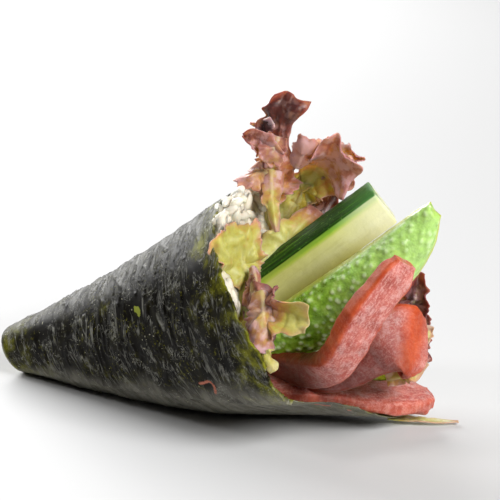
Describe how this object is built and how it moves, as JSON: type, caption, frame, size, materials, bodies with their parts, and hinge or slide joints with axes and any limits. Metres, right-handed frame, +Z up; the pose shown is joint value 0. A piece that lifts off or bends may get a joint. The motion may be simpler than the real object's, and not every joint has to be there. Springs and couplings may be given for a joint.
{
  "type": "temaki hand roll",
  "caption": "Cone of nori filled with rice, lying on its side, with lettuce, cucumber, avocado and raw tuna standing out of its open mouth.",
  "frame": {"origin": "middle of the flat strip underneath the nori cone, where the roll rests on a table", "axes": "+X along that strip from the tip to the mouth, -Y towards the shown side, +Z up"},
  "size_m": [0.13, 0.0705, 0.0858],
  "materials": {
    "nori": "dry roasted seaweed sheet, near-black green with fine pale fibres and a faint sheen",
    "rice": "moist cooked short grain, translucent white",
    "cucumber": "wet cut flesh, pale green, with a dark green rind",
    "avocado": "peeled ripe flesh, green outside turning yellow towards the cut faces, softly glossy",
    "tuna": "raw, moist, red-pink with fine pale fibres",
    "lettuce": "crisp thin leaf, yellow-green at the rib and brown-red towards the margin"
  },
  "bodies": {
    "root": {"nori": "nori", "rice": "rice", "cucumber": "cucumber", "avocado": "avocado", "tuna_flat": "tuna", "tuna_bent": "tuna", "tuna_fold": "tuna", "lettuce_tall": "lettuce", "lettuce_back": "lettuce", "lettuce_inner": "lettuce", "lettuce_front": "lettuce", "lettuce_frill": "lettuce", "lettuce_side": "lettuce", "lettuce_low": "lettuce"}
  },
  "joints": []
}
